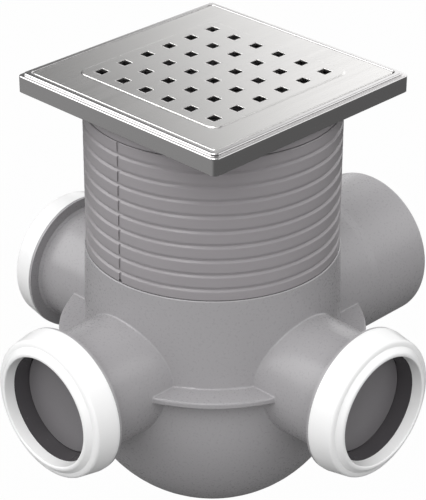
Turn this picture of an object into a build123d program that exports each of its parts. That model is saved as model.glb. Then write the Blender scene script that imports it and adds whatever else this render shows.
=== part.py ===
"""Floor drain with a square steel top, a telescopic riser and a body with three inlets.

The origin is the centre of the grate's top face, at finished floor level. +Z is up
and +X is the way the water leaves. The inlets point along -X (back), +Y (left)
and -Y (right), as seen by someone who looks along the flow. All sizes are millimetres.
"""

from build123d import *
from math import cos, radians, sin, sqrt
import os

# Steel frame
frame_overhang = 3.1  # the frame past the riser, on each side
frame_height = 9.5  # from the top of the grate to the bottom of the skirt
frame_corner_radius = 2.5
frame_wall = 1.5
frame_edge_round = 0.8
ledge_drop = 1.5  # outer ledge below the top of the grate
ledge_width = 1.6
bead_width = 2.7
bead_drop = 0.3  # top of the rounded bead below the top of the grate
bead_outer_round = 0.9
bead_inner_round = 0.5
grate_seat_width = 5.0

# Grate
grate_thickness = 1.5
grate_gap = 0.5  # between grate and bead, on each side
grate_edge_round = 0.5
panel_side = 86.8
panel_rise = 0.4
panel_corner_radius = 5.0
hole_rows = 6
hole_pitch = 14.15
hole_side = 5.2

# Collar that carries the frame
collar_play = 0.3  # between the flange and the inside of the frame's skirt
collar_flange_thickness = 3.0
collar_step = 0.5  # the plain band under the frame is this much slimmer than the riser
collar_bottom = -15.3
collar_wall = 3.9
collar_spigot_bottom = -50.0
slide_play = 0.3  # between the collar's spigot and the riser's bore
spigot_lead = 1.0  # chamfer that leads a spigot in
gusset_thickness = 3.0
gusset_height = 2.6
gusset_reach = 8.0  # past the middle of the flange's side, towards its corner

# Riser
riser_radius = 59.4
riser_wall = 3.4
riser_height = 69.8  # from its rim to the shoulder that sits on the body
band_height = 4.7
band_groove_width = 2.57
band_groove_depth = 0.95
band_groove_flank = 0.45
band_edge_round = 0.6  # on the top edge of each band below a groove
band_count = 10
seam_width = 1.4
seam_depth = 0.5
notch_width = 2.2
notch_height = 1.4
joint_chamfer = 0.35  # on the edges that show as the dark joint lines
riser_spigot_length = 13.4
riser_spigot_wall = 4.0
turn_play = 0.3  # between the riser's spigot and the body's mouth
riser_cone_height = 6.0

# Rubber rings
ring_groove_depth = 1.8
ring_groove_height = 3.4
ring_round = 0.8
ring_fit = 0.05  # what a rubber ring keeps from the bore that it seals
collar_ring_rise = 3.0  # lower edge of the collar's groove above the spigot's end
riser_ring_rise = 4.6  # lower edge of the riser's groove above the spigot's end

# Body
body_wall = 3.0
mouth_step = 0.6  # the body's mouth past the riser
mouth_wall = 2.8
mouth_depth = 15.0
wall_spread = 1.2  # the tapered wall's foot past the mouth
ledge_reach = 12.3  # from the wall's foot to the ledge's rim
ledge_rise = 2.4  # top of the ledge above the inlets' axis
ledge_thickness = 3.1
ledge_round = 0.8
bowl_bulge = 5.7  # the bowl past the wall's foot
bowl_center_drop = 18.2  # centre of the bowl below the ledge
bowl_arc_middle = 35.0  # degrees below level, a point that the bowl's arc passes
root_round = 0.8  # where the branches and the ledge leave the wall and the bowl

# Inlets
inlet_angles = {"back": 180.0, "left": 90.0, "right": 270.0}
inlet_drop = 47.5  # inlet axis below the body's rim
tube_wall = 3.3
pipe_radius = 25.0  # the waste pipe that the inlet takes
pipe_play = 0.3
passage_step = 2.0  # the passage into the bowl is this much tighter than the pipe
stop_reach = 0.8  # from the wall's foot to where a pushed-in pipe stops
socket_length = 30.4  # from the pipe's stop to the bell
bell_round = 1.2  # where the bell leaves the tube
bell_flange_height = 2.9
bell_flange_thickness = 1.2
bell_wall = 2.1
bell_length = 10.0
chamber_height = 4.9  # room for the seal round the pipe
chamber_offset = 3.0  # from the bell's back to the seal's chamber
lip_pocket_length = 4.6
lip_pocket_height = 2.4
snap_groove_depth = 0.8
snap_groove_width = 2.2
snap_groove_offset = 1.3

# Inlet caps
cap_play = 0.3
cap_back_gap = 0.1  # between the cap and the bell's flange
cap_end_gap = 0.2  # between the cap and the bell's end
cap_lap = 0.1  # the cap's rim past the bell's flange
cap_rim_length = 1.2  # straight rim at the back, before the band tapers
cap_band_length = 10.6
cap_band_taper = 1.6
cap_crease_length = 1.5  # from the band's end to the crease between face and lip
cap_crease_drop = 2.8
cap_mouth_play = 1.5  # round the pipe
cap_mouth_draft = 0.5
cap_lip_width = 0.9
cap_lip_round = 0.6
cap_length = 14.5
cap_coring = 1.9  # depth of the hollow inside the face
cap_coring_draft = 0.2
cap_lip_wall = 1.7
cap_face_wall = 2.2
snap_reach = 0.7
rib_play = 0.2  # between the snap rib and its groove, along the inlet

# Inlet seals
seal_end_gap = 0.1
seal_lip_length = 3.6  # how far the lip reaches back over the pipe's end
seal_lip_tip = 0.6
seal_lip_root = 1.6
seal_wall = 1.1
seal_cavity_depth = 4.2  # of the groove that lets the ring give

# Inlet plugs
plug_setback = 0.6  # the plug's outer face behind the seal's chamber
plug_wall = 1.8
plug_face_thickness = 2.0
plug_edge_round = 0.5

# Outlet
outlet_drop = 44.8  # outlet axis below the body's rim
outlet_radius = 37.5
outlet_wall = 3.0
outlet_reach = 41.8  # past the ledge's rim
outlet_edge_round = 2.0
outlet_root_step = 0.3  # the root is this much thicker than the spigot
outlet_root_reach = 1.0  # past the ledge's rim
outlet_root_taper = 5.0  # from the root down to the spigot, where the pipe socket stops
outlet_flare_start = 2.0  # past the end of the trap elbow
outlet_flare_length = 10.0

# Trap elbow
elbow_radius = 27.2
elbow_wall = 2.2
elbow_bend_radius = 30.0
elbow_reach = 4.8  # into the outlet, past the wall's foot
elbow_floor_gap = 4.4  # above the bowl's floor, at the leg's outside
elbow_play = 0.3
elbow_ring_setback = 2.2  # the ring behind the end of the elbow
elbow_ring_length = 5.0
elbow_ring_thickness = 3.2
elbow_ring_round = 1.0
handle_x = 8.0
handle_radius = 11.0
handle_width = 4.0
handle_thickness = 3.5
handle_bite = 2.4

# Levels and radii that follow from the sizes above
frame_side = 2 * (riser_radius + frame_overhang)
grate_bottom = -(panel_rise + grate_thickness)
frame_deck_bottom = grate_bottom - frame_wall
bead_side = frame_side - 2 * ledge_width
recess_side = bead_side - 2 * bead_width
grate_side = recess_side - 2 * grate_gap
skirt_inside = frame_side - 2 * frame_wall
riser_bore = riser_radius - riser_wall
collar_radius = riser_radius - collar_step
collar_spigot_radius = riser_bore - slide_play
collar_bore = collar_spigot_radius - collar_wall
riser_top = collar_bottom
rim_level = riser_top - riser_height  # riser's shoulder on the body's rim
mouth_radius = riser_radius + mouth_step
mouth_bore = mouth_radius - mouth_wall
riser_spigot_radius = mouth_bore - turn_play
riser_spigot_bore = riser_spigot_radius - riser_spigot_wall
riser_spigot_bottom = rim_level - riser_spigot_length
inlet_level = rim_level - inlet_drop
outlet_level = rim_level - outlet_drop
ledge_top = inlet_level + ledge_rise
ledge_bottom = ledge_top - ledge_thickness
shoulder_radius = mouth_radius + wall_spread
ledge_radius = shoulder_radius + ledge_reach
bowl_radius = shoulder_radius + bowl_bulge
bowl_level = ledge_bottom - bowl_center_drop
neck_radius = sqrt(bowl_radius**2 - bowl_center_drop**2)
inside_radius = bowl_radius - body_wall
arc_middle = radians(bowl_arc_middle)
inside_neck_radius = sqrt(inside_radius**2 - bowl_center_drop**2)
tube_radius = pipe_radius + pipe_play + tube_wall
passage_radius = pipe_radius - passage_step
lip_pocket_radius = pipe_radius + lip_pocket_height
chamber_radius = pipe_radius + chamber_height
bell_radius = chamber_radius + bell_wall
bell_flange_radius = bell_radius + bell_flange_height
pipe_stop = shoulder_radius + stop_reach
bell_back = pipe_stop + socket_length
bell_end = bell_back + bell_length
chamber_start = bell_back + chamber_offset
snap_groove_start = bell_back + bell_flange_thickness + snap_groove_offset
plug_face = chamber_start - plug_setback
cap_back = bell_back + bell_flange_thickness + cap_back_gap
cap_inside = bell_end + cap_end_gap
cap_radius = bell_flange_radius + cap_lap
cap_face_radius = cap_radius - cap_band_taper
cap_mouth_radius = pipe_radius + cap_mouth_play
elbow_bore = elbow_radius - elbow_wall
elbow_end = shoulder_radius + elbow_reach
elbow_ring_end = elbow_end - elbow_ring_setback
elbow_ring_start = elbow_ring_end - elbow_ring_length
elbow_center_level = outlet_level - elbow_bend_radius
elbow_bottom = bowl_level - sqrt(inside_radius**2 - elbow_radius**2) + elbow_floor_gap
ring_chamber_radius = elbow_radius + elbow_ring_thickness
flare_start = elbow_end + outlet_flare_start
outlet_end = ledge_radius + outlet_reach
outlet_root_radius = outlet_radius + outlet_root_step
outlet_root_end = ledge_radius + outlet_root_reach


def branch_plane(angle, level):
    """Plane of a branch's long section: its x runs outwards, its y runs up."""
    a = radians(angle)
    return Plane(origin=(0, 0, level), x_dir=(cos(a), sin(a), 0), z_dir=(sin(a), -cos(a), 0))


def section(plane, *points):
    """Closed section through the given points, ready to be revolved."""
    with BuildSketch(plane) as sketch:
        with BuildLine():
            Polyline(*points, close=True)
        make_face()
    return sketch.sketch


def ring_section(inner, outer, bottom):
    """Section of a rubber ring that lies in a groove, with rounded corners."""
    height = ring_groove_height - 2 * ring_fit
    with BuildSketch(Plane.XZ) as sketch:
        with Locations(((inner + outer) / 2, bottom + ring_groove_height / 2)):
            RectangleRounded(outer - inner, height, ring_round)
    return sketch.sketch


# Square frame: a skirt, a ledge and a bead round the recess for the grate
with BuildPart() as frame:
    with BuildSketch(Plane.XY.offset(-frame_height)):
        RectangleRounded(frame_side, frame_side, frame_corner_radius)
    extrude(amount=frame_height - ledge_drop)
    fillet(frame.edges().group_by(Axis.Z)[-1], frame_edge_round)
    with BuildSketch(Plane.XY.offset(-ledge_drop)):
        RectangleRounded(bead_side, bead_side, frame_corner_radius)
    extrude(amount=ledge_drop - bead_drop)
    fillet(frame.edges().group_by(Axis.Z)[-1], bead_outer_round)
    with BuildSketch(Plane.XY.offset(-frame_height)):
        RectangleRounded(skirt_inside, skirt_inside, frame_corner_radius - frame_wall)
    extrude(amount=frame_height + frame_deck_bottom, mode=Mode.SUBTRACT)
    with BuildSketch(Plane.XY.offset(grate_bottom)):
        RectangleRounded(recess_side, recess_side, frame_corner_radius)
    extrude(amount=-grate_bottom, mode=Mode.SUBTRACT)
    with BuildSketch(Plane.XY.offset(frame_deck_bottom)):
        opening_side = recess_side - 2 * grate_seat_width
        RectangleRounded(opening_side, opening_side, frame_corner_radius)
    extrude(amount=frame_height, mode=Mode.SUBTRACT)
    bead_top = frame.faces().sort_by(Axis.Z)[-1]
    fillet(bead_top.inner_wires()[0].edges(), bead_inner_round)

# Grate: a pressed sheet whose panel stands proud above and is hollow below
with BuildPart() as grate:
    with BuildSketch(Plane.XY.offset(grate_bottom)):
        RectangleRounded(grate_side, grate_side, frame_corner_radius - grate_gap)
    extrude(amount=grate_thickness)
    fillet(grate.edges().group_by(Axis.Z)[-1], grate_edge_round)
    with BuildSketch(Plane.XY.offset(-panel_rise)):
        RectangleRounded(panel_side, panel_side, panel_corner_radius)
    extrude(amount=panel_rise, taper=45)
    with BuildSketch(Plane.XY.offset(grate_bottom)):
        RectangleRounded(panel_side, panel_side, panel_corner_radius)
    extrude(amount=panel_rise, taper=45, mode=Mode.SUBTRACT)
    with BuildSketch(Plane.XY.offset(grate_bottom)):
        with GridLocations(hole_pitch, hole_pitch, hole_rows, hole_rows):
            Rectangle(hole_side, hole_side)
    extrude(amount=-grate_bottom, mode=Mode.SUBTRACT)

# Collar: a square flange inside the skirt, a round band and the sliding spigot
collar_flange_side = skirt_inside - 2 * collar_play
collar_flange_bottom = frame_deck_bottom - collar_flange_thickness
collar_groove_bottom = collar_spigot_bottom + collar_ring_rise
collar_groove_top = collar_groove_bottom + ring_groove_height
collar_groove_radius = collar_spigot_radius - ring_groove_depth
with BuildPart() as collar:
    with BuildSketch(Plane.XY.offset(collar_flange_bottom)):
        RectangleRounded(collar_flange_side, collar_flange_side, frame_corner_radius - frame_wall)
    extrude(amount=collar_flange_thickness)
    # Gussets run out under the flange's corners
    with BuildSketch(Plane.XY.offset(collar_flange_bottom - gusset_height)):
        with PolarLocations(0, 4, start_angle=45):
            Rectangle(collar_flange_side + 2 * gusset_reach, gusset_thickness)
    extrude(amount=gusset_height)
    with BuildSketch(Plane.XY.offset(collar_bottom)):
        Circle(collar_radius)
    extrude(amount=frame_deck_bottom - collar_bottom)
    revolve(
        section(
            Plane.XZ,
            (0, collar_bottom + joint_chamfer),
            (collar_spigot_radius, collar_bottom + joint_chamfer),
            (collar_spigot_radius, collar_groove_top),
            (collar_groove_radius, collar_groove_top),
            (collar_groove_radius, collar_groove_bottom),
            (collar_spigot_radius, collar_groove_bottom),
            (collar_spigot_radius, collar_spigot_bottom + spigot_lead),
            (collar_spigot_radius - spigot_lead, collar_spigot_bottom),
            (0, collar_spigot_bottom),
        ),
        axis=Axis.Z,
    )
    band_edge = collar.edges().filter_by(GeomType.CIRCLE).filter_by_position(
        Axis.Z, collar_bottom - 0.01, collar_bottom + 0.01
    )
    chamfer(band_edge.sort_by(SortBy.RADIUS)[-1], joint_chamfer)
    with BuildSketch(Plane.XY.offset(collar_spigot_bottom)):
        Circle(collar_bore)
    extrude(amount=frame_deck_bottom - collar_spigot_bottom, mode=Mode.SUBTRACT)

with BuildPart() as collar_seal:
    ring_outer = riser_bore - ring_fit
    revolve(ring_section(collar_groove_radius + ring_fit, ring_outer, collar_groove_bottom), axis=Axis.Z)

# Riser: flat bands with grooves between them, then a spigot for the body's mouth
riser_groove_bottom = riser_spigot_bottom + riser_ring_rise
riser_groove_top = riser_groove_bottom + ring_groove_height
riser_groove_radius = riser_spigot_radius - ring_groove_depth
band_groove_radius = riser_radius - band_groove_depth
riser_outline = [
    (riser_bore, riser_top),
    (riser_radius - joint_chamfer, riser_top),
    (riser_radius, riser_top - joint_chamfer),
]
band_tops = []
for band in range(1, band_count):
    groove_top = riser_top - band * band_height - (band - 1) * band_groove_width
    groove_bottom = groove_top - band_groove_width
    band_tops.append(groove_bottom)
    riser_outline += [
        (riser_radius, groove_top),
        (band_groove_radius, groove_top - band_groove_flank),
        (band_groove_radius, groove_bottom + 2 * band_groove_flank),
        (riser_radius, groove_bottom),
    ]
riser_outline += [
    (riser_radius, rim_level + joint_chamfer),
    (riser_radius - joint_chamfer, rim_level),
    (riser_spigot_radius, rim_level),
    (riser_spigot_radius, riser_groove_top),
    (riser_groove_radius, riser_groove_top),
    (riser_groove_radius, riser_groove_bottom),
    (riser_spigot_radius, riser_groove_bottom),
    (riser_spigot_radius, riser_spigot_bottom + spigot_lead),
    (riser_spigot_radius - spigot_lead, riser_spigot_bottom),
    (riser_spigot_bore, riser_spigot_bottom),
    (riser_spigot_bore, rim_level),
    (riser_bore, rim_level + riser_cone_height),
]
with BuildPart() as riser:
    revolve(section(Plane.XZ, *riser_outline), axis=Axis.Z)
    for top in band_tops:
        band_edges = riser.edges().filter_by(GeomType.CIRCLE)
        band_edges = band_edges.filter_by_position(Axis.Z, top - 0.01, top + 0.01)
        fillet(band_edges.sort_by(SortBy.RADIUS)[-1], band_edge_round)
    # Seam line down both sides, with a notch at its foot on the back
    with BuildSketch(Plane.XY.offset(rim_level)):
        with Locations((riser_radius, 0), (-riser_radius, 0)):
            Rectangle(2 * seam_depth, seam_width)
    extrude(amount=riser_height, mode=Mode.SUBTRACT)
    with BuildSketch(Plane.XY.offset(rim_level)):
        with Locations((-riser_radius, 0)):
            Rectangle(2 * band_groove_depth, notch_width)
    extrude(amount=notch_height, mode=Mode.SUBTRACT)

with BuildPart() as riser_seal:
    ring_outer = mouth_bore - ring_fit
    revolve(ring_section(riser_groove_radius + ring_fit, ring_outer, riser_groove_bottom), axis=Axis.Z)

# Body: tapered wall, ledge and bowl, with three inlets and the outlet
with BuildPart() as body:
    with BuildSketch(Plane.XZ):
        with BuildLine():
            Polyline(
                (0, bowl_level - bowl_radius),
                (0, rim_level),
                (mouth_radius - joint_chamfer, rim_level),
                (mouth_radius, rim_level - joint_chamfer),
                (shoulder_radius, ledge_top),
                (shoulder_radius, ledge_bottom),
                (neck_radius, ledge_bottom),
            )
            ThreePointArc(
                (neck_radius, ledge_bottom),
                (bowl_radius * cos(arc_middle), bowl_level - bowl_radius * sin(arc_middle)),
                (0, bowl_level - bowl_radius),
            )
        make_face()
    revolve(axis=Axis.Z)
    with BuildSketch(Plane.XY.offset(ledge_bottom)):
        Circle(ledge_radius)
    extrude(amount=ledge_thickness)
    ledge_edges = body.edges().filter_by(GeomType.CIRCLE).sort_by(SortBy.RADIUS)[-2:]
    fillet(ledge_edges, ledge_round)
    for angle in inlet_angles.values():
        plane = branch_plane(angle, inlet_level)
        revolve(
            section(
                plane,
                (0, 0),
                (0, tube_radius),
                (bell_back - bell_round, tube_radius),
                (bell_back, tube_radius + bell_round),
                (bell_back, bell_flange_radius),
                (bell_back + bell_flange_thickness, bell_flange_radius),
                (bell_back + bell_flange_thickness, bell_radius),
                (snap_groove_start, bell_radius),
                (snap_groove_start, bell_radius - snap_groove_depth),
                (snap_groove_start + snap_groove_width, bell_radius - snap_groove_depth),
                (snap_groove_start + snap_groove_width, bell_radius),
                (bell_end, bell_radius),
                (bell_end, 0),
            ),
            axis=Axis(plane.origin, plane.x_dir),
        )
    outlet_plane = branch_plane(0, outlet_level)
    outlet_axis = Axis(outlet_plane.origin, outlet_plane.x_dir)
    revolve(
        section(
            outlet_plane,
            (0, 0),
            (0, outlet_root_radius),
            (outlet_root_end, outlet_root_radius),
            (outlet_root_end + outlet_root_taper, outlet_radius),
            (outlet_end, outlet_radius),
            (outlet_end, 0),
        ),
        axis=outlet_axis,
    )
    fillet(body.faces().sort_by(Axis.X)[-1].edges(), outlet_edge_round)
    # Small fillets where the branches and the ledge leave the wall and the bowl
    ledge_level_edges = body.edges().filter_by_position(Axis.Z, ledge_top - 0.01, ledge_top + 0.01)
    branch_roots = body.edges().filter_by(GeomType.BSPLINE)
    upper_roots = branch_roots.filter_by_position(Axis.Z, ledge_top + ledge_thickness, rim_level)
    bowl_bottom = bowl_level - bowl_radius
    lower_roots = branch_roots.filter_by_position(Axis.Z, bowl_bottom, ledge_bottom - ledge_thickness)
    upper_roots += ledge_level_edges.filter_by(GeomType.LINE)
    upper_roots += ledge_level_edges.filter_by(GeomType.CIRCLE).filter_by(
        lambda edge: edge.radius < shoulder_radius + ledge_round
    )
    fillet(upper_roots + lower_roots, root_round)
    # Inside of the mouth, the upper wall and the bowl
    with BuildSketch(Plane.XZ):
        with BuildLine():
            Polyline(
                (0, bowl_level - inside_radius),
                (0, rim_level),
                (mouth_bore, rim_level),
                (mouth_bore, rim_level - mouth_depth),
                (shoulder_radius - body_wall, ledge_top),
                (inside_neck_radius, ledge_bottom),
            )
            ThreePointArc(
                (inside_neck_radius, ledge_bottom),
                (inside_radius * cos(arc_middle), bowl_level - inside_radius * sin(arc_middle)),
                (0, bowl_level - inside_radius),
            )
        make_face()
    revolve(axis=Axis.Z, mode=Mode.SUBTRACT)
    # Stepped bores of the inlets: passage, pipe socket, lip pocket and seal chamber
    for angle in inlet_angles.values():
        plane = branch_plane(angle, inlet_level)
        revolve(
            section(
                plane,
                (0, 0),
                (0, passage_radius),
                (pipe_stop, passage_radius),
                (pipe_stop, pipe_radius + pipe_play),
                (chamber_start - lip_pocket_length, pipe_radius + pipe_play),
                (chamber_start - lip_pocket_length, lip_pocket_radius),
                (chamber_start, lip_pocket_radius),
                (chamber_start, chamber_radius),
                (bell_end, chamber_radius),
                (bell_end, 0),
            ),
            axis=Axis(plane.origin, plane.x_dir),
            mode=Mode.SUBTRACT,
        )
    # Outlet bore, with the socket for the trap elbow at its inner end
    revolve(
        section(
            outlet_plane,
            (0, 0),
            (0, ring_chamber_radius),
            (elbow_ring_end, ring_chamber_radius),
            (elbow_ring_end, elbow_radius + elbow_play),
            (elbow_end, elbow_radius + elbow_play),
            (elbow_end, elbow_bore),
            (flare_start, elbow_bore),
            (flare_start + outlet_flare_length, outlet_radius - outlet_wall),
            (outlet_end, outlet_radius - outlet_wall),
            (outlet_end, 0),
        ),
        axis=outlet_axis,
        mode=Mode.SUBTRACT,
    )

# Trap elbow: from the outlet's inner socket down into the bowl, with a lifting ring
handle_level = (
    elbow_center_level
    + sqrt((elbow_bend_radius + elbow_radius) ** 2 - (elbow_bend_radius - handle_x) ** 2)
    + handle_radius
    - handle_bite
)
with BuildPart() as trap_elbow:
    with BuildLine(Plane.XZ) as elbow_path:
        Line((elbow_end, outlet_level), (elbow_bend_radius, outlet_level))
        RadiusArc((elbow_bend_radius, outlet_level), (0, elbow_center_level), -elbow_bend_radius)
        Line((0, elbow_center_level), (0, elbow_bottom))
    elbow_mouth = Plane(origin=(elbow_end, 0, outlet_level), z_dir=(-1, 0, 0))
    with BuildSketch(elbow_mouth):
        Circle(elbow_radius)
    sweep()
    with BuildSketch(Plane.XZ):
        with Locations((handle_x, handle_level)):
            Circle(handle_radius)
            Circle(handle_radius - handle_width, mode=Mode.SUBTRACT)
    extrude(amount=handle_thickness / 2, both=True)
    with BuildSketch(elbow_mouth):
        Circle(elbow_bore)
    sweep(path=elbow_path.wire(), mode=Mode.SUBTRACT)

with BuildPart() as trap_seal:
    seal_plane = branch_plane(0, outlet_level)
    with BuildSketch(seal_plane):
        ring_inner = elbow_radius + ring_fit
        ring_outer = ring_chamber_radius - ring_fit
        with Locations(((elbow_ring_start + elbow_ring_end) / 2, (ring_inner + ring_outer) / 2)):
            RectangleRounded(elbow_ring_length, ring_outer - ring_inner, elbow_ring_round)
    revolve(axis=Axis(seal_plane.origin, seal_plane.x_dir))


def inlet_cap(angle):
    """Snap cap: a band that clips over the bell and a rounded face round the mouth."""
    plane = branch_plane(angle, inlet_level)
    front = cap_back + cap_length
    shoulder = cap_back + cap_band_length
    inner = bell_radius + cap_play
    rib = snap_groove_start + rib_play
    rib_end = snap_groove_start + snap_groove_width - rib_play
    crease = shoulder + cap_crease_length
    crease_radius = cap_face_radius - cap_crease_drop
    coring_end = cap_inside + cap_coring
    coring_inner = cap_mouth_radius + cap_lip_wall
    coring_outer = cap_face_radius - cap_face_wall
    with BuildPart() as cap:
        with BuildSketch(plane):
            with BuildLine():
                Polyline(
                    (cap_back, inner),
                    (cap_back, cap_radius),
                    (cap_back + cap_rim_length, cap_radius),
                    (shoulder, cap_face_radius),
                )
                Spline((shoulder, cap_face_radius), (crease, crease_radius), tangents=[(1, -0.3), (0.1, -1)])
                Spline(
                    (crease, crease_radius),
                    (front, cap_mouth_radius + cap_lip_width),
                    (front - cap_lip_round, cap_mouth_radius),
                    tangents=[(0.8, -1), (-1, -0.1)],
                )
                Polyline(
                    (front - cap_lip_round, cap_mouth_radius),
                    (cap_inside, cap_mouth_radius - cap_mouth_draft),
                    (cap_inside, coring_inner),
                    (coring_end, coring_inner + cap_coring_draft),
                    (coring_end, coring_outer - cap_coring_draft),
                    (cap_inside, coring_outer),
                    (cap_inside, inner),
                    (rib_end, inner),
                    (rib_end, inner - snap_reach),
                    (rib, inner - snap_reach),
                    (rib, inner),
                    (cap_back, inner),
                )
            make_face()
        revolve(axis=Axis(plane.origin, plane.x_dir))
    return cap.part


def inlet_seal(angle):
    """Rubber lip ring: fills the bell's chamber and reaches in over the pipe's end."""
    plane = branch_plane(angle, inlet_level)
    outer = chamber_radius - ring_fit
    back = chamber_start + ring_fit
    front = bell_end - seal_end_gap
    lip = pipe_radius + ring_fit
    lip_back = chamber_start - seal_lip_length
    mouth = cap_mouth_radius - cap_mouth_draft + seal_end_gap
    cavity_bottom = front - seal_cavity_depth
    with BuildPart() as seal:
        profile = section(
            plane,
            (front, mouth),
            (plug_face + seal_end_gap, lip),
            (lip_back, lip),
            (lip_back, lip + seal_lip_tip),
            (back, lip + seal_lip_root),
            (back, outer),
            (front, outer),
            (front, outer - seal_wall),
            (cavity_bottom, (outer + mouth) / 2),
            (front, mouth + seal_wall),
        )
        revolve(profile, axis=Axis(plane.origin, plane.x_dir))
    return seal.part


def inlet_plug(angle):
    """Blanking plug: a cup with its closed face outwards, its rim on the pipe stop."""
    plane = branch_plane(angle, inlet_level)
    with BuildPart() as plug:
        profile = section(
            plane,
            (pipe_stop, pipe_radius - plug_wall),
            (pipe_stop, pipe_radius),
            (plug_face - plug_edge_round, pipe_radius),
            (plug_face, pipe_radius - plug_edge_round),
            (plug_face, 0),
            (plug_face - plug_face_thickness, 0),
            (plug_face - plug_face_thickness, pipe_radius - plug_wall),
        )
        revolve(profile, axis=Axis(plane.origin, plane.x_dir))
    return plug.part


parts = {
    "frame": frame.part,
    "grate": grate.part,
    "collar": collar.part,
    "collar_seal": collar_seal.part,
    "riser": riser.part,
    "riser_seal": riser_seal.part,
    "body": body.part,
    "trap_elbow": trap_elbow.part,
    "trap_seal": trap_seal.part,
}
for side, angle in inlet_angles.items():
    parts[f"inlet_cap_{side}"] = inlet_cap(angle)
    parts[f"inlet_seal_{side}"] = inlet_seal(angle)
    parts[f"inlet_plug_{side}"] = inlet_plug(angle)

os.makedirs("parts", exist_ok=True)
for name, part in parts.items():
    part.label = name
    export_step(part, f"parts/{name}.step")
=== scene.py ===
# %% [markdown]
# A floor drain for a wet room: a square steel top with a perforated grate, a grey
# plastic riser that turns and telescopes, and a grey body with a round bowl,
# three inlets under white snap caps and one outlet. Every shape comes from the
# part's CAD frame, down to the bands of the riser and the holes of the grate, so
# nothing is modelled again here. This script dresses the solids: it sets up the
# camera, the floor, the light and the finishes.

# %% Load the frame
import bpy
from math import cos, radians, sin
from mathutils import Matrix, Vector


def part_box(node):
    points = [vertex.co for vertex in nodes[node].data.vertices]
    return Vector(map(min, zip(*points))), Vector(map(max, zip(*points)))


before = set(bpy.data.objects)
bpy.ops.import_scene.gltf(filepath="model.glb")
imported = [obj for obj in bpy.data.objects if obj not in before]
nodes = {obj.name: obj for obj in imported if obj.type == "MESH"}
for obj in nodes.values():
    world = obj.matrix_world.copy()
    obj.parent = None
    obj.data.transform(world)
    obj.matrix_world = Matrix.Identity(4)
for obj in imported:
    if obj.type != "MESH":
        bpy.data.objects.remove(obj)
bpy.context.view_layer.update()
print("nodes:", sorted(nodes))

# %% [markdown]
# The camera looks at the front corner of the square top, from above. A long lens
# keeps the square almost free of perspective. The camera could be placed by hand,
# but then each correction would disturb the others. Here it is placed by its
# direction from the centre of the grate, then slid sideways and down to frame
# the whole drain, so that each number does one thing. Lengths are in metres. The
# Standard view shows colours as they are written, with no film look over them.

# %% Camera
image_height = 500.0
lens_pixels = 2077.88
offset_pixels = 0.85
sensor_size = 36.0
camera_azimuth = radians(-45.52)
camera_elevation = radians(28.33)
camera_roll = radians(0.17)
camera_distance = 0.93449
camera_slide = -0.0005
camera_drop = -0.08029

back = Vector((
    sin(camera_azimuth) * cos(camera_elevation),
    -cos(camera_azimuth) * cos(camera_elevation),
    sin(camera_elevation),
))
level_right = Vector((cos(camera_azimuth), sin(camera_azimuth), 0.0))
level_up = back.cross(level_right)
right = level_right * cos(camera_roll) + level_up * sin(camera_roll)
up = back.cross(right)

scene = bpy.context.scene
camera_data = bpy.data.cameras.new("camera")
camera_data.sensor_width = sensor_size
camera_data.lens = lens_pixels / image_height * sensor_size
camera_data.shift_x = offset_pixels / image_height
camera = bpy.data.objects.new("camera", camera_data)
axes = Matrix((right, up, back)).transposed().to_4x4()
place = right * camera_slide + up * camera_drop + back * camera_distance
camera.matrix_world = Matrix.Translation(place) @ axes
scene.collection.objects.link(camera)
scene.camera = camera
scene.view_settings.view_transform = "Standard"
print("camera at", [round(v, 3) for v in place], "lens", round(camera_data.lens, 1), "mm")

# %% [markdown]
# The drain stands in a white studio, just clear of a plain pale sheet. A plane is
# all that the sheet needs. It lies below the lowest point of the drain, which is
# the bowl.

# %% Floor sheet
floor_gap = 0.0002
floor_size = 12.0

bpy.ops.object.select_all(action="DESELECT")
floor_level = min(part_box(name)[0].z for name in nodes) - floor_gap
bpy.ops.mesh.primitive_plane_add(size=floor_size, location=(0, 0, floor_level))
floor = bpy.context.object
floor.name = "floor"
print("floor at", round(floor_level, 4))

# %% [markdown]
# The sheet could simply be painted white, but then it would throw a lot of light
# up at the bowl. So for the light its paint is a darker grey, and the camera sees
# it almost purely as a white glow, with a trace of the drain's shadow. Glossy
# surfaces don't see the sheet at all. What they reflect comes from the world
# instead, so that the steel skirt can show the dark half of the room, as it does
# in the photograph.

# %% Floor paint
floor_tone = 0.22
white_share = 0.985
white = (1.0, 1.0, 1.0, 1.0)


def empty_tree(owner, output_kind="ShaderNodeOutputMaterial"):
    """Empties the tree of a material or world and gives it back with its output node."""
    owner.use_nodes = True
    tree = owner.node_tree
    tree.nodes.clear()
    return tree, tree.nodes.new(output_kind)


def link(tree, source, target):
    """Links an output to an input."""
    tree.links.new(source, target)


def feed(tree, value, target):
    """Sets an input to a number, or links it to the output that is given."""
    if isinstance(value, (int, float)):
        target.default_value = value
    else:
        link(tree, value, target)


def math_node(tree, operation, *values):
    """One Math node. Each value is a number or the output that feeds it."""
    node = tree.nodes.new("ShaderNodeMath")
    node.operation = operation
    for socket, value in zip(node.inputs, values):
        feed(tree, value, socket)
    return node.outputs[0]


def mix_shaders(tree, share, first, second):
    """Two shaders in one: a share of 0 gives the first, 1 gives the second."""
    node = tree.nodes.new("ShaderNodeMixShader")
    for socket, source in zip(node.inputs, (share, first, second)):
        link(tree, source, socket)
    return node.outputs[0]


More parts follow.
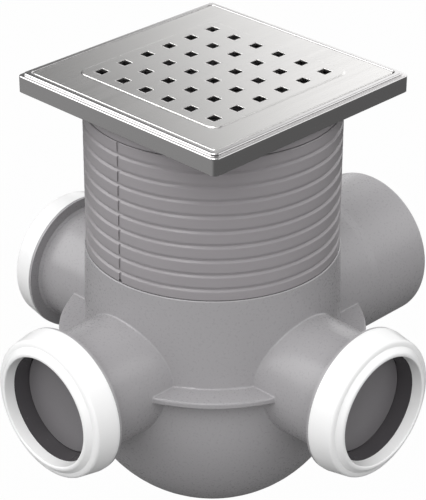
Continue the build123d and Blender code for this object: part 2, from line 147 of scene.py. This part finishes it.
floor_paint = bpy.data.materials.new("floor_paint")
tree, output = empty_tree(floor_paint)
matt = tree.nodes.new("ShaderNodeBsdfDiffuse")
matt.inputs["Color"].default_value = (floor_tone, floor_tone, floor_tone, 1)
glow = tree.nodes.new("ShaderNodeEmission")
glow.inputs["Color"].default_value = white
ray = tree.nodes.new("ShaderNodeLightPath").outputs
share = math_node(tree, "MULTIPLY", ray["Is Camera Ray"], white_share)
link(tree, mix_shaders(tree, share, matt.outputs[0], glow.outputs[0]), output.inputs["Surface"])
floor.data.materials.append(floor_paint)
floor.visible_glossy = False
print("floor paint:", floor_tone, "for the light,", white_share, "white for the camera")

# %% [markdown]
# Light has two jobs here. The soft light that gives the plastic its grey is a sky:
# brighter above, on the camera's side and on the left. What shines on plastic and
# steel is a studio of its own: four soft boxes in a dim room, over a floor that is
# paler on the left. Lamps could do both, but a lamp that makes the right shine
# also lights the plastic. Both are drawn in the world instead, by direction, so
# that each can be set without moving the other.
#
# A direction has a turn (0 is straight behind the drain, 90 is on the right) and
# a height, both in degrees. A soft box fills a window of turns and heights, and
# its edges fade over the soft edge. The sides of a leaning box move to the right
# as they rise, and cross their written turns at the upright height. Seen in the
# grate, that side is the slanting line where the steel goes from dark to bright.

# %% What the studio holds
soft_boxes = [
    # turn from, turn to, height from, height to, soft edge, lean, strength
    (-100.0, -55.0, 8.0, 54.0, 4.0, 0.0, 4.0),  # box on the left
    (-0.4, 100.0, -6.0, 44.0, 5.5, 0.63, 1.80),  # leaning wall, behind on the right
    (-160.0, -20.0, 58.0, 82.0, 8.0, 0.0, 9.0),  # box above, towards the left
    (-180.0, 180.0, 60.0, 90.0, 8.0, 0.0, 1.6),  # pale ceiling, all the way round
]
full_turn = 360.0
upright_height = 23.7
room_light = 0.18
floor_left = 0.44
floor_right = 0.17
floor_blend = (-1.0, -0.1)
horizon = (-8.0, 2.0)
print("soft boxes:", len(soft_boxes), "strongest", max(box[-1] for box in soft_boxes))

# %% [markdown]
# The world's Generated coordinates are the direction that a ray leaves in. A dot
# product says how far it points along another direction, and arc functions make
# degrees of that. Every window and every fade below is then a smooth step up from
# one number to another, so one helper draws them all.

# %% Turn and height of a direction


def along(tree, view, direction):
    """How far the view points along a direction, from -1 to 1."""
    node = tree.nodes.new("ShaderNodeVectorMath")
    node.operation = "DOT_PRODUCT"
    node.inputs[1].default_value = direction
    link(tree, view, node.inputs[0])
    return node.outputs["Value"]


def rise(tree, value, start, end):
    """0 below start, 1 above end, smooth between them."""
    node = tree.nodes.new("ShaderNodeMapRange")
    node.interpolation_type = "SMOOTHSTEP"
    node.inputs["From Min"].default_value = start
    node.inputs["From Max"].default_value = end
    link(tree, value, node.inputs["Value"])
    return node.outputs[0]


def between(tree, value, low, high, soft):
    """1 from low to high and 0 outside, with edges that fade over soft on either side."""
    not_over = math_node(tree, "SUBTRACT", 1.0, rise(tree, value, high - soft, high + soft))
    return math_node(tree, "MULTIPLY", rise(tree, value, low - soft, low + soft), not_over)


def studio_math(operation, *values):
    """A Math node in the world's tree."""
    return math_node(studio, operation, *values)


world = bpy.data.worlds.new("studio")
scene.world = world
studio, world_output = empty_tree(world, "ShaderNodeOutputWorld")
view = studio.nodes.new("ShaderNodeTexCoord").outputs["Generated"]
away = Vector((-back.x, -back.y, 0.0)).normalized()
rightness = along(studio, view, level_right)
height = studio_math("DEGREES", studio_math("ARCSINE", along(studio, view, (0, 0, 1))))
turn = studio_math("DEGREES", studio_math("ARCTAN2", rightness, along(studio, view, away)))
print("straight behind the drain is", [round(v, 3) for v in away])

# %% [markdown]
# What glossy surfaces see. The dim room fills the upper half and the floor the
# lower one, with a soft horizon between them. Each soft box is then laid over
# that, and where two overlap the brighter one counts.

# %% What shines
side = studio_math(
    "MULTIPLY_ADD", rise(studio, rightness, *floor_blend), floor_right - floor_left, floor_left
)
above = rise(studio, height, *horizon)
room = studio_math("MULTIPLY", above, room_light)
below = studio_math("MULTIPLY", studio_math("SUBTRACT", 1.0, above), side)
seen = studio_math("ADD", room, below)
for turn_from, turn_to, height_from, height_to, soft, lean, strength in soft_boxes:
    window = between(studio, height, height_from, height_to, soft)
    if turn_to - turn_from < full_turn:
        turn_at_upright = studio_math("ADD", turn, lean * upright_height)
        upright = studio_math("MULTIPLY_ADD", height, -lean, turn_at_upright)
        sides = between(studio, upright, turn_from, turn_to, soft)
        window = studio_math("MULTIPLY", window, sides)
    seen = studio_math("MAXIMUM", seen, studio_math("MULTIPLY", window, strength))
print("nodes that draw the shine:", len(studio.nodes))

# %% [markdown]
# What lights the plastic. A sky that is the same all round would give a flat,
# grey lump, and a lamp would give hard shadows. This sky is brighter the higher it
# is, and brighter on the camera's side and on the left, so that the bowl's
# underside and the right flanks turn a little darker.

# %% What lights the plastic
sky_low = 0.70
sky_rise = 1.95
sky_heights = (-20.0, 90.0)
front_light = 0.85
left_light = 0.42

sky_light = studio_math("MULTIPLY_ADD", rise(studio, height, *sky_heights), sky_rise, sky_low)
toward = studio_math("MULTIPLY_ADD", along(studio, view, -away), front_light, 1.0)
toward = studio_math("MULTIPLY_ADD", rightness, -left_light, toward)
sky_light = studio_math("MULTIPLY", sky_light, toward)
print("sky from", sky_low, "below to", round(sky_low + sky_rise, 2), "above")

# %% [markdown]
# Light Path tells the rays apart. A camera ray that misses the floor finds a plain
# pale backdrop, a glossy ray finds the drawn studio, and every other ray finds
# the sky. The soft boxes and the backdrop could be real objects, but those would
# cast shadows, bounce light and stand in the picture from other sides.

# %% Join the lights
backdrop_light = 1.0


def background(strength):
    """A Background shader in the world. strength is a number or the output that feeds it."""
    node = studio.nodes.new("ShaderNodeBackground")
    feed(studio, strength, node.inputs["Strength"])
    return node.outputs[0]


ray = studio.nodes.new("ShaderNodeLightPath").outputs
lit = mix_shaders(studio, ray["Is Glossy Ray"], background(sky_light), background(seen))
lit = mix_shaders(studio, ray["Is Camera Ray"], lit, background(backdrop_light))
link(studio, lit, world_output.inputs["Surface"])
print("the world has", len(studio.nodes), "nodes")

# %% [markdown]
# Moulded plastic is never quite even: a fine grain dulls it and the colour drifts
# a little from place to place. An image could show that, but it would stretch
# over the curved walls. Two noises in the object's own space don't. They are a
# node group, because all the plastics and the rubber use them.

# %% Mould grain
grain_detail = 3.0
cloud_detail = 2.0


def group(name, inputs, outputs):
    """A new node group with float inputs (name, default) and float outputs (name)."""
    tree = bpy.data.node_groups.new(name, "ShaderNodeTree")
    for title, value in inputs:
        socket = tree.interface.new_socket(title, in_out="INPUT", socket_type="NodeSocketFloat")
        socket.default_value = value
    for title in outputs:
        tree.interface.new_socket(title, in_out="OUTPUT", socket_type="NodeSocketFloat")
    inside, outside = tree.nodes.new("NodeGroupInput"), tree.nodes.new("NodeGroupOutput")
    return tree, inside.outputs, outside.inputs


def noise(tree, vector, scale, detail, rough=0.5):
    """A Noise Texture read at vector. scale is a number or the output that feeds it."""
    node = tree.nodes.new("ShaderNodeTexNoise")
    feed(tree, scale, node.inputs["Scale"])
    node.inputs["Detail"].default_value = detail
    node.inputs["Roughness"].default_value = rough
    link(tree, vector, node.inputs["Vector"])
    return node.outputs["Fac"]


grain, given, gives = group(
    "mould_grain", [("Grain Scale", 900.0), ("Cloud Scale", 14.0)], ["Grain", "Cloud"]
)
spot = grain.nodes.new("ShaderNodeTexCoord").outputs["Object"]
link(grain, noise(grain, spot, given["Grain Scale"], grain_detail), gives["Grain"])
link(grain, noise(grain, spot, given["Cloud Scale"], cloud_detail), gives["Cloud"])
print("group", grain.name, "with", len(grain.nodes), "nodes")

# %% [markdown]
# Steel sheet carries the lines of the brush. They are noise too, but stretched
# along the way that the brush ran: the place is multiplied by a small scale
# along the lines and by a large one across them. The group has a scale for each
# axis, so that each piece can be brushed its own way. A second, broader noise
# is for the slow drift of the sheet's tone.

# %% Brushed lines
line_scale = 1.0
line_detail = 4.0
line_rough = 0.6
broad_scale = 0.12
broad_detail = 2.0
brush_axes = ("Along X", "Along Y", "Along Z")

brush, given, gives = group(
    "brushed_lines", list(zip(brush_axes, (12.0, 900.0, 900.0))), ["Lines", "Broad"]
)
spot = brush.nodes.new("ShaderNodeTexCoord").outputs["Object"]
stretch = brush.nodes.new("ShaderNodeCombineXYZ")
for axis, title in zip("XYZ", brush_axes):
    link(brush, given[title], stretch.inputs[axis])
scaled = brush.nodes.new("ShaderNodeVectorMath")
scaled.operation = "MULTIPLY"
link(brush, spot, scaled.inputs[0])
link(brush, stretch.outputs[0], scaled.inputs[1])
lines = noise(brush, scaled.outputs[0], line_scale, line_detail, line_rough)
broad = noise(brush, scaled.outputs[0], broad_scale, broad_detail)
link(brush, lines, gives["Lines"])
link(brush, broad, gives["Broad"])
print("group", brush.name, "with", len(brush.nodes), "nodes")

# %% [markdown]
# Three things are needed in more than one finish. A tint mixes two shades of one
# colour by a noise. A relief makes the noise stand up from the surface, as a
# bump that moves nothing. The painted crevice shade is for the grooves of the
# riser and the lines where two pieces meet. They look dark on the real drain,
# where shade falls in them, and under a soft sky alone they would be too pale.
# Ambient Occlusion measures how closed in a point is, within a millimetre and a
# half, and the painted crevice shade makes a factor of that, to darken the colour.

# %% Tint, relief and painted crevice shade
relief_height = 0.0001
crevice_reach = 0.0015
crevice_closed = 0.25
crevice_open = 0.68
crevice_samples = 16


def tinted(tree, color, low, high, blend):
    """The colour times low where blend is 0, and times high where it is 1."""
    node = tree.nodes.new("ShaderNodeMix")
    node.data_type = "RGBA"
    link(tree, blend, node.inputs[0])
    node.inputs[6].default_value = (*[c * low for c in color], 1)
    node.inputs[7].default_value = (*[c * high for c in color], 1)
    return node.outputs[2]


def relief(tree, pattern, strength):
    """A Bump node that makes a pattern stand up from the surface."""
    node = tree.nodes.new("ShaderNodeBump")
    node.inputs["Strength"].default_value = strength
    node.inputs["Distance"].default_value = relief_height
    link(tree, pattern, node.inputs["Height"])
    return node


def painted_crevice_shade(tree, tone):
    """Painted shade: a factor for the base colour that falls from 1 to tone where other
    surfaces close in on a point.
    """
    open_sky = tree.nodes.new("ShaderNodeAmbientOcclusion")
    open_sky.samples = crevice_samples
    open_sky.inputs["Distance"].default_value = crevice_reach
    shade = tree.nodes.new("ShaderNodeMapRange")
    shade.inputs["From Min"].default_value = crevice_closed
    shade.inputs["From Max"].default_value = crevice_open
    shade.inputs["To Min"].default_value = tone
    link(tree, open_sky.outputs["AO"], shade.inputs["Value"])
    return shade.outputs[0]


print("crevices: within", crevice_reach * 1000, "mm")

# %% [markdown]
# The plastics. The body, riser and collar are grey polypropylene with a satin
# skin, the caps are white, the plugs behind them are a darker, duller grey, its
# darkness painted shade for the dim inside of the caps, and the rings are black
# rubber. One function makes them all, because they differ in numbers only: a base
# colour that drifts, a roughness that the grain varies, a fine bump, and painted
# shade that darkens crevices by a tone. A tone of 1 paints no shade there, which
# is right for the pieces that lie deep inside a cap.

# %% Plastic and rubber
grain_spread = 0.06


def plastic(name, color, roughness, drift=0.04, bump=0.015, painted_shade_tone=0.25):
    """A moulded finish. drift is how far the colour wanders, bump how deep the grain is."""
    material = bpy.data.materials.new(name)
    tree, output = empty_tree(material)
    shader = tree.nodes.new("ShaderNodeBsdfPrincipled")
    texture = tree.nodes.new("ShaderNodeGroup")
    texture.node_tree = grain
    tint = tinted(tree, color, 1 - drift, 1 + drift, texture.outputs["Cloud"])
    darker = tree.nodes.new("ShaderNodeVectorMath")
    darker.operation = "SCALE"
    link(tree, tint, darker.inputs[0])
    # Painted shade: the tint is darkened in crevices by the factor that Ambient Occlusion
    # gives.
    link(tree, painted_crevice_shade(tree, painted_shade_tone), darker.inputs["Scale"])
    link(tree, darker.outputs[0], shader.inputs["Base Color"])
    smoothest = roughness - grain_spread / 2
    wander = math_node(tree, "MULTIPLY_ADD", texture.outputs["Grain"], grain_spread, smoothest)
    link(tree, wander, shader.inputs["Roughness"])
    skin = relief(tree, texture.outputs["Grain"], bump)
    link(tree, skin.outputs[0], shader.inputs["Normal"])
    link(tree, shader.outputs[0], output.inputs["Surface"])
    print("plastic", name, "roughness", roughness)
    return material


body_grey = plastic("body_grey", (0.300, 0.292, 0.301), 0.28)
riser_grey = plastic("riser_grey", (0.262, 0.248, 0.258), 0.32)
cap_white = plastic("cap_white", (0.76, 0.76, 0.76), 0.30, drift=0.01, painted_shade_tone=0.6)
ring_black = plastic("ring_black", (0.058, 0.054, 0.058), 0.26, drift=0.1, painted_shade_tone=1.0)
# Painted shade: the plugs are the body's grey at about half its brightness, for the dim inside
# of the caps.
plug_painted_shade_grey = plastic("plug_painted_shade_grey", (0.155, 0.148, 0.155), 0.40, painted_shade_tone=1.0)
trap_grey = plastic("trap_grey", (0.250, 0.246, 0.254), 0.40)

# %% [markdown]
# The steel. The grate and the frame are stainless sheet. The grate is brushed
# along X, and the frame's skirt has fine level lines. The lines vary the
# roughness and give a faint bump, and the broad noise shades the colour, so
# that the sheet looks drawn and not painted. Sheet that is bent or cut keeps a small
# round edge, and that edge catches a bright line. It could be bevelled in the
# mesh, but a Bevel node does as well: it rounds only the normals, so the solid
# keeps its measures.

# %% Brushed steel
steel_low_tone = 0.93
line_spread = 0.12
edge_samples = 6


def steel(name, color, roughness, brushing, edge_round, bump=0.05):
    """Stainless sheet. brushing has a scale per axis, small along the lines."""
    material = bpy.data.materials.new(name)
    tree, output = empty_tree(material)
    shader = tree.nodes.new("ShaderNodeBsdfPrincipled")
    shader.inputs["Metallic"].default_value = 1.0
    texture = tree.nodes.new("ShaderNodeGroup")
    texture.node_tree = brush
    for title, value in zip(brush_axes, brushing):
        texture.inputs[title].default_value = value
    tint = tinted(tree, color, steel_low_tone, 1.0, texture.outputs["Broad"])
    link(tree, tint, shader.inputs["Base Color"])
    smoothest = roughness - line_spread / 2
    wander = math_node(tree, "MULTIPLY_ADD", texture.outputs["Lines"], line_spread, smoothest)
    link(tree, wander, shader.inputs["Roughness"])
    rounded = tree.nodes.new("ShaderNodeBevel")
    rounded.samples = edge_samples
    rounded.inputs["Radius"].default_value = edge_round
    skin = relief(tree, texture.outputs["Lines"], bump)
    link(tree, rounded.outputs[0], skin.inputs["Normal"])
    link(tree, skin.outputs[0], shader.inputs["Normal"])
    link(tree, shader.outputs[0], output.inputs["Surface"])
    print("steel", name, "roughness", roughness, "edge", edge_round * 1000, "mm")
    return material


grate_steel = steel("grate_steel", (0.76, 0.75, 0.74), 0.24, (12.0, 900.0, 900.0), 0.0006)
frame_steel = steel("frame_steel", (0.66, 0.65, 0.65), 0.18, (40.0, 40.0, 1200.0), 0.0003)

# %% [markdown]
# The finishes go on by name. Every node's name says what it is, so a short list
# of words finds its finish: the first word that the name holds decides. The
# rings come first, because the riser's ring is a ring before it is a riser.

# %% Dress the CAD nodes
finish_words = [
    ("seal", ring_black),
    ("cap", cap_white),
    ("plug", plug_painted_shade_grey),
    ("body", body_grey),
    ("riser", riser_grey),
    ("collar", riser_grey),
    ("trap_elbow", trap_grey),
    ("grate", grate_steel),
    ("frame", frame_steel),
]
for name, piece in nodes.items():
    finish = next(finish for word, finish in finish_words if word in name)
    for slot in piece.material_slots:
        slot.material = finish
    print(name, "wears", finish.name)
